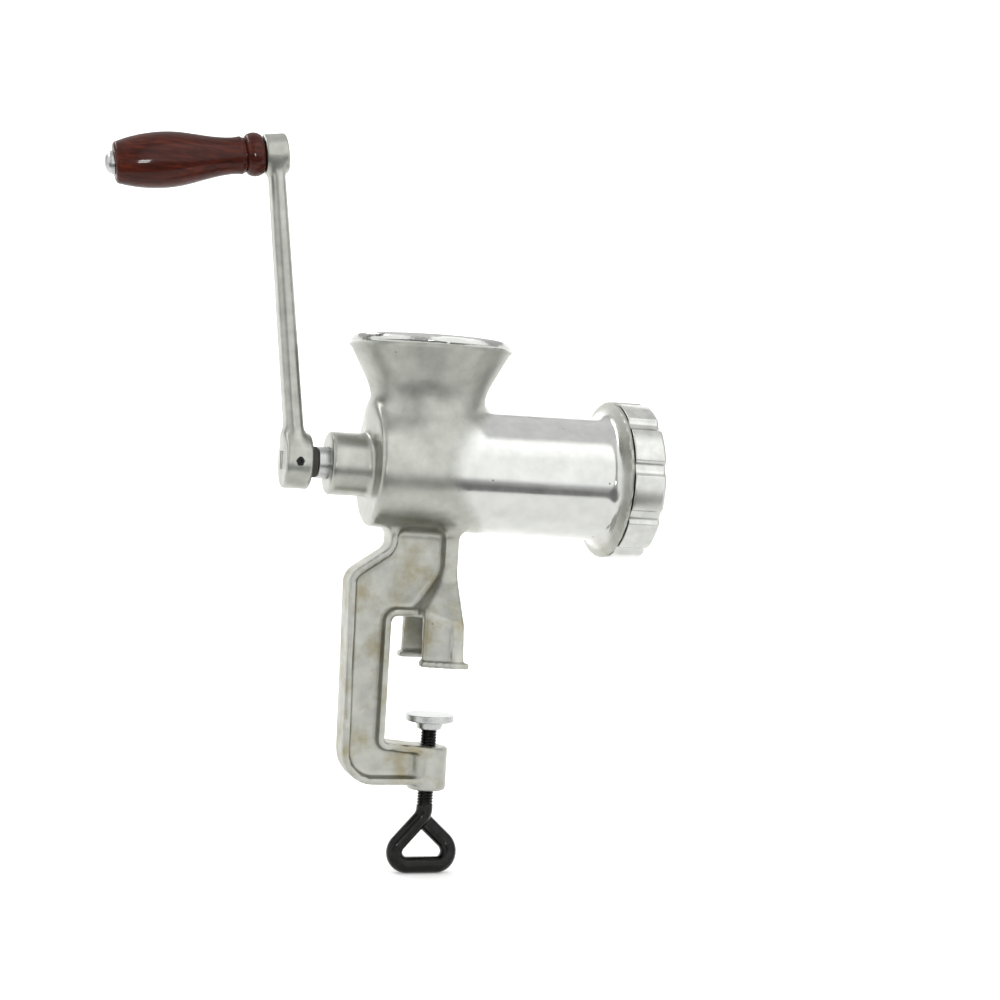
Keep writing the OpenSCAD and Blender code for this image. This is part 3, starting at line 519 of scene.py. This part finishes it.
def node_tree(name, **sockets):
    """Empty geometry tree with a geometry input, named value inputs and a geometry output."""
    tree = bpy.data.node_groups.new(name, "GeometryNodeTree")
    tree.interface.new_socket("Geometry", in_out="INPUT", socket_type="NodeSocketGeometry")
    for key, kind in sockets.items():
        tree.interface.new_socket(key, in_out="INPUT", socket_type="NodeSocket" + kind)
    tree.interface.new_socket("Geometry", in_out="OUTPUT", socket_type="NodeSocketGeometry")
    return tree, tree.nodes.new("NodeGroupInput").outputs


def grow(obj, tree, result, material, **values):
    """Ends the tree, runs it on the object and keeps the result as a plain mesh."""
    real = add(tree, "GeometryNodeRealizeInstances", {0: result})
    coat = add(tree, "GeometryNodeSetMaterial", {0: real, "Material": material})
    add(tree, "NodeGroupOutput", {0: coat})
    modifier = obj.modifiers.new(tree.name, "NODES")
    modifier.node_group = tree
    for item in tree.interface.items_tree:
        if item.in_out == "INPUT" and item.name in values:
            modifier[item.identifier] = values[item.name]
    seen = obj.evaluated_get(bpy.context.evaluated_depsgraph_get())
    mesh = bpy.data.meshes.new_from_object(seen)
    obj.modifiers.clear()
    obj.data = mesh


tree, given = node_tree("lobes_about_axis", Lobes="Int", Start="Float", Height="Float")
spots = add(tree, "GeometryNodePoints", {"Count": given["Lobes"]})
share = add(tree, "ShaderNodeMath", {0: 2 * math.pi, 1: given["Lobes"]}, operation="DIVIDE")
number = add(tree, "GeometryNodeInputIndex")
turn = add(tree, "ShaderNodeMath", {0: number, 1: share, 2: given["Start"]}, operation="MULTIPLY_ADD")
spin = add(tree, "ShaderNodeCombineXYZ", {"X": turn})
copies = add(tree, "GeometryNodeInstanceOnPoints", {
    "Points": spots, "Instance": given["Geometry"], "Rotation": spin})
lift = add(tree, "ShaderNodeCombineXYZ", {"Z": given["Height"]})
placed = add(tree, "GeometryNodeTransform", {"Geometry": copies, "Translation": lift})
grow(ring, tree, placed, ring_tin, Lobes=LOBES, Start=math.pi - math.radians(GROOVE_AT), Height=AXIS * MM)
finish_piece(ring, "ring", "ring_nut", ring_tin)

# Spacer between bush and crank: a washer punched from dark fibre, which keeps the hub off the bush.
# It is matt, with the small flecks of pressed paper.
fibre, tree, place = new_material("dark_fibre")
flecks = add(tree, "ShaderNodeTexNoise", {
    "Vector": place, "Scale": 1000 / 0.7, "Detail": 5, "Roughness": 0.7})
tone = add(tree, "ShaderNodeValToRGB", {0: flecks}, [(0.3, "#2b2a28"), (0.7, "#47443f")])
bump = add(tree, "ShaderNodeBump", {"Height": flecks, "Strength": 0.3, "Distance": 0.1 * MM})
add(tree, "Principled BSDF", {"Base Color": tone, "Roughness": 0.7, "Normal": bump})
dress(fibre, "spacer_washer")

# Crank: hub, tapered oval arm and eye in one iron casting, blended like the body.
# It leans back from the barrel, and its hub has a square socket for the feed screw's tail.
HUB_X = -83.6
HUB_R = 13.9
HUB_HALF = 6.7
SOCKET_HALF = 4.25
SET_SCREW_R = 2
ARM_LEN = 148.8
ARM_START = 8.4
ARM_HALF = 4.5
ARM_FLAT = 4
ARM_TAPER = 0.75
EYE = (-102.814, 251.391)
EYE_R = 9.6
EYE_HALF = 5.75
EYE_BORE = 3.5
LEAN = math.radians(7.2)
DROOP = math.radians(9.8)


def crank_distance(x, y, z):
    """Distance to the crank's surface."""
    u, v = x - HUB_X, z - AXIS
    along = v * math.cos(LEAN) - u * math.sin(LEAN)
    thick = u * math.cos(LEAN) + v * math.sin(LEAN)
    share = np.clip((along - ARM_START) / (ARM_LEN - ARM_START), 0, 1)
    flat = np.maximum(np.abs(y) - ARM_FLAT + ARM_TAPER * share, 0)
    arm = np.hypot(flat, thick) - ARM_HALF + ARM_TAPER * share
    arm = np.maximum(arm, np.maximum(-along, along - ARM_LEN))
    hub = blend_max(np.hypot(y, v) - HUB_R, np.abs(u) - HUB_HALF, 1.6)
    eu, ev = x - EYE[0], z - EYE[1]
    out = eu * math.cos(DROOP) + ev * math.sin(DROOP)
    ring = np.hypot(y, ev * math.cos(DROOP) - eu * math.sin(DROOP))
    eye = blend_max(ring - EYE_R, np.abs(out) - EYE_HALF, 1.4)
    solid = blend_min(blend_min(hub, arm, 5), eye, 4)
    socket = np.maximum(np.abs(y), np.abs(v)) - SOCKET_HALF
    peg = np.maximum(np.hypot(u, v) - SET_SCREW_R, y)
    return np.maximum(np.maximum(solid, -socket), np.maximum(EYE_BORE - ring, -peg))


# tinned iron rubbed smooth by hands: darker than the barrel, with soft broad highlights
crank_iron, tree, place = new_material("rubbed_cast_iron")
clouds = add(tree, "ShaderNodeTexNoise", {"Vector": place, "Scale": 1000 / 8, "Detail": 4, "Roughness": 0.55})
skin = add(tree, "ShaderNodeTexNoise", {"Vector": place, "Scale": 1000 / 0.7, "Detail": 3, "Roughness": 0.55})
tone = add(tree, "ShaderNodeValToRGB", {0: clouds}, [(0.3, "#959690"), (0.7, "#aeb0a9")])
rough = add(tree, "ShaderNodeMapRange", {"Value": skin, "To Min": 0.26, "To Max": 0.42})
height = add(tree, "ShaderNodeMath", {0: skin, 1: clouds}, operation="ADD")
bump = add(tree, "ShaderNodeBump", {"Height": height, "Strength": 0.2, "Distance": 0.2 * MM})
add(tree, "Principled BSDF", {"Base Color": tone, "Roughness": rough, "Metallic": 1.0, "Normal": bump})
crank = new_object("crank_casting", *mesh_of(crank_distance, *cad_limits("crank_arm"), 0.8))
finish_piece(crank, "drive", "crank_arm", crank_iron)

# Set screw in the hub: mild steel, blackened and oiled; the clamp screw below has the same finish.
# The oil film gives a dark face with sharp, narrow highlights.
black, tree, place = new_material("blackened_steel")
wear = add(tree, "ShaderNodeTexNoise", {"Vector": place, "Scale": 1000 / 4, "Detail": 5, "Roughness": 0.65})
tone = add(tree, "ShaderNodeValToRGB", {0: wear}, [(0.35, "#121212"), (0.75, "#242322")])
rough = add(tree, "ShaderNodeMapRange", {"Value": wear, "To Min": 0.10, "To Max": 0.24})
bump = add(tree, "ShaderNodeBump", {"Height": wear, "Strength": 0.1, "Distance": 0.15 * MM})
add(tree, "Principled BSDF", {
    "Base Color": tone, "Roughness": rough, "Metallic": 1.0, "Coat Weight": 0.25, "Coat Roughness": 0.06,
    "Normal": bump})
dress(black, "crank_screw")

# Handle: hardwood turned on the lathe with a bead and groove, stained red-brown and varnished.
# It turns freely on a steel spindle riveted in the eye, with a washer under the domed head.
GRIP_LEN = 73
GRIP_GAP = 0.3
GRIP_BORE = 3.56
NECK_R = 9
NECK_AT = 14.5
BELLY_R = 13.6
BELLY_AT = 49
TIP_R = 10.4
TIP_EDGE = 2.4
BEAD_R = 10.8
BEAD_FOOT = 8.2
BEAD_LEN = 9.1
SPINDLE_R = 3.5
HEAD_R = 5.3
HEAD_H = 3.2
HEAD_AT = 74.6


def turned(profile, sides=96):
    """Points and faces of a closed outline (radius, distance out from the eye) turned about the spindle."""
    points, faces = [], []
    spindle = Vector((math.cos(DROOP), 0, math.sin(DROOP)))
    over = Vector((-math.sin(DROOP), 0, math.cos(DROOP)))
    size = len(profile)
    for i in range(sides):
        turn = 2 * math.pi * i / sides
        aside = Vector((0, math.cos(turn), 0)) + over * math.sin(turn)
        for r, out in profile:
            points.append(Vector((EYE[0], 0, EYE[1])) - spindle * (EYE_HALF + out) + aside * r)
        for j in range(size):
            k, n = (j + 1) % size, (i + 1) % sides
            faces.append((i * size + j, i * size + k, n * size + k, n * size + j))
    return points, faces


# long grain along the grip under a thin coat of varnish, which keeps the wood dark and gives a small glint
wood, tree, place = new_material("varnished_hardwood")
lie = add(tree, "ShaderNodeMapping", {"Vector": place, "Rotation": (0, DROOP, 0), "Scale": (0.09, 1, 1)})
grain = add(tree, "ShaderNodeTexNoise", {"Vector": lie, "Scale": 1000 / 1.5, "Detail": 5, "Roughness": 0.6})
bands = add(tree, "ShaderNodeTexNoise", {"Vector": lie, "Scale": 1000 / 6, "Detail": 3, "Roughness": 0.55})
both = add(tree, "ShaderNodeMix", {0: 0.45, 2: grain, 3: bands})
tone = add(tree, "ShaderNodeValToRGB", {0: both}, [(0.36, "#280d08"), (0.5, "#39140c"), (0.66, "#4f1f10")])
rough = add(tree, "ShaderNodeMapRange", {"Value": grain, "To Min": 0.28, "To Max": 0.44})
bump = add(tree, "ShaderNodeBump", {"Height": grain, "Strength": 0.1, "Distance": 0.15 * MM})
add(tree, "Principled BSDF", {
    "Base Color": tone, "Roughness": rough, "Specular IOR Level": 0.03, "Coat Weight": 0.33,
    "Coat Roughness": 0.08, "Normal": bump})
shares = np.linspace(0, 1, 25)
swell = [(NECK_R + (BELLY_R - NECK_R) * (1 - math.cos(math.pi * t)) / 2, NECK_AT + (BELLY_AT - NECK_AT) * t)
         for t in shares]
fall_len = GRIP_LEN - TIP_EDGE - BELLY_AT
steep = 1 - (TIP_R / BELLY_R) ** 2
fall = [(BELLY_R * math.sqrt(1 - steep * t * t), BELLY_AT + fall_len * t) for t in np.linspace(0, 1, 15)[1:]]
arc = np.linspace(0, math.pi / 2, 9)[1:]
edge = [(TIP_R + TIP_EDGE * (math.cos(t) - 1), GRIP_LEN + TIP_EDGE * (math.sin(t) - 1)) for t in arc]
bead = [(BEAD_FOOT + (BEAD_R - BEAD_FOOT) * math.sin(math.pi * t) ** 0.5, 0.05 + BEAD_LEN * t)
        for t in np.linspace(0, 1, 13)]
groove = [(8.7, 9.7), (8.6, 10.1), (8.9, 10.7), (9.3, 11.1), (9.3, 11.9), (9.1, 13)]
profile = [(GRIP_BORE, 0)] + bead + groove + swell + fall + edge + [(GRIP_BORE, GRIP_LEN)]
grip = new_object("turned_grip", *turned([(r, out + GRIP_GAP) for r, out in profile]))
finish_piece(grip, "grip", "handle_grip", wood, 50)
dome = [(HEAD_R * math.cos(t), HEAD_AT + HEAD_H * math.sin(t)) for t in np.linspace(0, math.pi / 2, 13)[:-1]]
rivet_end = -2 * EYE_HALF
profile = [(0, rivet_end), (SPINDLE_R, rivet_end), (SPINDLE_R, HEAD_AT)] + dome + [(0, HEAD_AT + HEAD_H)]
spindle = new_object("riveted_spindle", *turned(profile, 48))
finish_piece(spindle, "drive", "handle_spindle", steel)
dress(steel, "grip_washer")

# Clamp: a swivel pad on the tip of a screw whose own rod is bent into a closed loop for the fingers.
# Geometry Nodes sweep the rod along its centre line and cut the thread into the straight part.
ROD_R = 4.3
SHANK_TOP = -34.6
BEND_Z = -75.8
ROD_THREAD_LOW = -74.0
ROD_PITCH = 1.5
ROD_THREAD_DEPTH = 0.6
LOOP_W = 38
LOOP_BEND = 6.8
FIRST_BEND = 9.0
LEFT_SLOPE = math.radians(48.5)
RIGHT_SLOPE = math.radians(43)
TAIL_SET_BACK = 7.4      # the rod's end lies this far behind the stem
dress(steel, "clamp_pad")
inner = LOOP_W / 2 - ROD_R - LOOP_BEND
left = inner + LOOP_BEND / math.tan(LEFT_SLOPE / 2)
right = inner + LOOP_BEND / math.tan(RIGHT_SLOPE / 2)
top_z = BEND_Z - FIRST_BEND * math.tan(math.pi / 4 - LEFT_SLOPE / 2)
low_z = top_z - left * math.tan(LEFT_SLOPE)
span = right * math.sin(LEFT_SLOPE) + (top_z - low_z) * math.cos(LEFT_SLOPE)
tail = (span - ROD_R - 0.3) / math.sin(LEFT_SLOPE + RIGHT_SLOPE)
tail_end = (right - tail * math.cos(RIGHT_SLOPE), low_z + tail * math.sin(RIGHT_SLOPE))
bends = rounded([
    (0, SHANK_TOP, 0), (0, top_z, FIRST_BEND), (-left, low_z, LOOP_BEND), (right, low_z, LOOP_BEND),
    tail_end + (0,)], 14)
path = [(0, z) for z in np.arange(SHANK_TOP, ROD_THREAD_LOW - 1, -0.25)]
path += [tuple(p) for p in bends if p[1] < ROD_THREAD_LOW - 1]
turning = [u for u, v in path].index(min(u for u, v in path))
spots = []
for i, (u, v) in enumerate(path):
    behind = TAIL_SET_BACK * (v - low_z) / (tail_end[1] - low_z) if i > turning and u > 0 else 0
    spots.append(((SCREW_X + u) * MM, behind * MM, v * MM))
rod = bpy.data.objects.new("clamp_rod", bpy.data.meshes.new("clamp_rod"))
rod.data.from_pydata(spots, [(i, i + 1) for i in range(len(spots) - 1)], [])
bpy.context.scene.collection.objects.link(rod)
tree, given = node_tree(
    "threaded_rod", Radius="Float", Pitch="Float", Depth="Float", Low="Float", High="Float", Middle="Vector")
line = add(tree, "GeometryNodeMeshToCurve", {0: given["Geometry"]})
round_profile = add(tree, "GeometryNodeCurvePrimitiveCircle", {"Resolution": 32, "Radius": given["Radius"]})
tube = add(tree, "GeometryNodeCurveToMesh", {
    "Curve": line, "Profile Curve": round_profile, "Fill Caps": True})
here = add(tree, "GeometryNodeInputPosition")
arm = add(tree, "ShaderNodeVectorMath", {0: here, 1: given["Middle"]}, operation="SUBTRACT")
parts = add(tree, "ShaderNodeSeparateXYZ", {0: arm}).outputs
angle = add(tree, "ShaderNodeMath", {0: parts["Y"], 1: parts["X"]}, operation="ARCTAN2")
lead = add(tree, "ShaderNodeMath", {0: parts["Z"], 1: given["Pitch"]}, operation="DIVIDE")
phase = add(tree, "ShaderNodeMath", {0: angle, 1: -0.5 / math.pi, 2: lead}, operation="MULTIPLY_ADD")
tooth = add(tree, "ShaderNodeMath", {0: phase, 1: 0.5}, operation="PINGPONG")
above = add(tree, "ShaderNodeMath", {0: parts["Z"], 1: given["Low"]}, operation="GREATER_THAN")
below = add(tree, "ShaderNodeMath", {0: parts["Z"], 1: given["High"]}, operation="LESS_THAN")
cut = add(tree, "ShaderNodeMath", {0: above, 1: below}, operation="MULTIPLY")
sink = add(tree, "ShaderNodeMath", {0: tooth, 1: given["Depth"]}, operation="MULTIPLY")
sink = add(tree, "ShaderNodeMath", {0: sink, 1: cut}, operation="MULTIPLY")
flat = add(tree, "ShaderNodeCombineXYZ", {"X": parts["X"], "Y": parts["Y"]})
toward = add(tree, "ShaderNodeVectorMath", {0: flat}, operation="NORMALIZE")
shift = add(tree, "ShaderNodeVectorMath", {0: toward, "Scale": sink}, operation="SCALE")
threaded = add(tree, "GeometryNodeSetPosition", {"Geometry": tube, "Offset": shift})
grow(rod, tree, threaded, black, Radius=(ROD_R - 0.03) * MM, Pitch=ROD_PITCH * MM,
     Depth=-2 * ROD_THREAD_DEPTH * MM, Low=ROD_THREAD_LOW * MM, High=(SHANK_TOP - 0.6) * MM,
     Middle=(SCREW_X * MM, 0, 0))
finish_piece(rod, "screw", "clamp_screw", black)

# Stage: a sweep of white paper under and behind the grinder, the room around it, lamps and the camera.
# The paper ends just in front of the grinder, so that bright metal gets a dark line below the window.
VIEW_TURN = math.radians(-17.65)
BACKDROP_BEND = 0.4
floor_z = cad_box[0].z
sweep = [(-0.26, floor_z), (0.45, floor_z)]
sweep += [(0.45 + BACKDROP_BEND * math.sin(t), floor_z + BACKDROP_BEND * (1 - math.cos(t)))
          for t in np.linspace(0.1, math.pi / 2, 12)]
sweep += [(0.45 + BACKDROP_BEND, 0.72)]
turned_round = Matrix.Rotation(VIEW_TURN, 4, "Z")
verts = [turned_round @ Vector((x, y, z)) for y, z in sweep for x in (-2.5, 2.5)]
quads = [(2 * i, 2 * i + 1, 2 * i + 3, 2 * i + 2) for i in range(len(sweep) - 1)]
floor_mesh = bpy.data.meshes.new("floor")
floor_mesh.from_pydata([tuple(v) for v in verts], [], quads)
floor_mesh.shade_smooth()
floor = bpy.data.objects.new("floor", floor_mesh)
bpy.context.scene.collection.objects.link(floor)
paper, tree, place = new_material("backdrop_paper")
fibres = add(tree, "ShaderNodeTexNoise", {"Vector": place, "Scale": 1000 / 3, "Detail": 3, "Roughness": 0.55})
tone = add(tree, "ShaderNodeValToRGB", {0: fibres}, [(0.3, "#f9f9f8"), (0.7, "#fbfbfa")])
ray = add(tree, "ShaderNodeLightPath").outputs
mirrored = add(tree, "ShaderNodeMath", {
    0: ray["Is Glossy Ray"], 1: ray["Is Transmission Ray"]}, operation="MAXIMUM")
seen = add(tree, "ShaderNodeMath", {0: ray["Is Camera Ray"], 1: mirrored}, operation="MAXIMUM")
lift = add(tree, "ShaderNodeMath", {0: seen, 1: 0.16}, operation="MULTIPLY")
add(tree, "Principled BSDF", {
    "Base Color": tone, "Roughness": 0.9, "Emission Color": (1, 1, 1, 1), "Emission Strength": lift})
floor_mesh.materials.append(paper)

# the room: a broad bright window behind the camera, plain walls, a lighter ceiling, and a dark ground
world = bpy.data.worlds.new("studio")
bpy.context.scene.world = world
world.use_nodes = True
tree = world.node_tree
toward = add(tree, "ShaderNodeTexCoord").outputs["Generated"]
aims = [Vector(aim).normalized() for aim in ((0.45, -0.82, 0.35), (-0.95, -0.22, 0.22), (0, 0, 1))]
facings = [add(tree, "ShaderNodeVectorMath", {0: toward, 1: aim}, operation="DOT_PRODUCT") for aim in aims]
to_window, to_side, up = [node.outputs["Value"] for node in facings]
window = add(tree, "ShaderNodeMapRange", {
    "Value": to_window, "From Min": 0.70, "From Max": 0.79, "To Min": 0.6, "To Max": 1.5})
side = add(tree, "ShaderNodeMapRange", {"Value": to_side, "From Min": 0.78, "From Max": 0.86, "To Max": 0.7})
ceiling = add(tree, "ShaderNodeMapRange", {"Value": up, "From Min": 0.48, "From Max": 0.76, "To Max": 0.35})
ground = add(tree, "ShaderNodeMapRange", {"Value": up, "From Min": -0.28, "From Max": -0.16, "To Min": 0.42})
walls = add(tree, "ShaderNodeMath", {0: side, 1: ceiling}, operation="ADD")
walls = add(tree, "ShaderNodeMath", {0: window, 1: walls}, operation="ADD")
lit = add(tree, "ShaderNodeMath", {0: walls, 1: ground}, operation="MULTIPLY")
add(tree, "Background", {"Color": lit})


def lamp(name, place, target, width, height, power):
    """Rectangular soft lamp aimed at a target."""
    data = bpy.data.lights.new(name, "AREA")
    data.shape = "RECTANGLE"
    data.size = width
    data.size_y = height
    data.energy = power
    obj = bpy.data.objects.new(name, data)
    obj.location = place
    obj.rotation_euler = (Vector(target) - Vector(place)).to_track_quat("-Z", "Y").to_euler()
    bpy.context.scene.collection.objects.link(obj)
    return obj


lamp("backdrop_light", (0.1, 0.30, 0.95), (0.1, 1.25, 0.67), 1.4, 0.3, 5)
lamp("strip", (-0.47, 0.25, 0.64), (0, 0, -0.05), 0.6, 0.1, 1.2)
lamp("flash", (-0.30, -1.0, 0.03), (-0.1, 0, 0.2), 0.16, 0.06, 0.5)
# a softbox for the varnish alone, so that its glint doesn't burn out the tin
glint = lamp("glint", (-0.30, -1.0, 0.03), (-0.1, 0, 0.2), 0.16, 0.2, 4)
varnished = bpy.data.collections.new("varnished_pieces")
varnished.objects.link(grip)
glint.light_linking.receiver_collection = varnished

camera = bpy.data.objects.new("camera", bpy.data.cameras.new("camera"))
elevation, roll = math.radians(0.80), math.radians(3.45)
back = Vector((math.sin(VIEW_TURN) * math.cos(elevation), -math.cos(VIEW_TURN) * math.cos(elevation),
               math.sin(elevation)))
level = Vector((math.cos(VIEW_TURN), math.sin(VIEW_TURN), 0))
upright = back.cross(level)
across = level * math.cos(roll) + upright * math.sin(roll)
upward = upright * math.cos(roll) - level * math.sin(roll)
turn = Matrix((across, upward, back)).transposed().to_4x4()
camera.matrix_world = Matrix.Translation((-0.24447, -0.84738, 0.09785)) @ turn
camera.data.sensor_fit = "HORIZONTAL"
camera.data.sensor_width = 36
camera.data.lens = 61.40
camera.data.clip_start = 0.01
bpy.context.scene.collection.objects.link(camera)
bpy.context.scene.camera = camera
bpy.context.scene.view_settings.view_transform = "Standard"
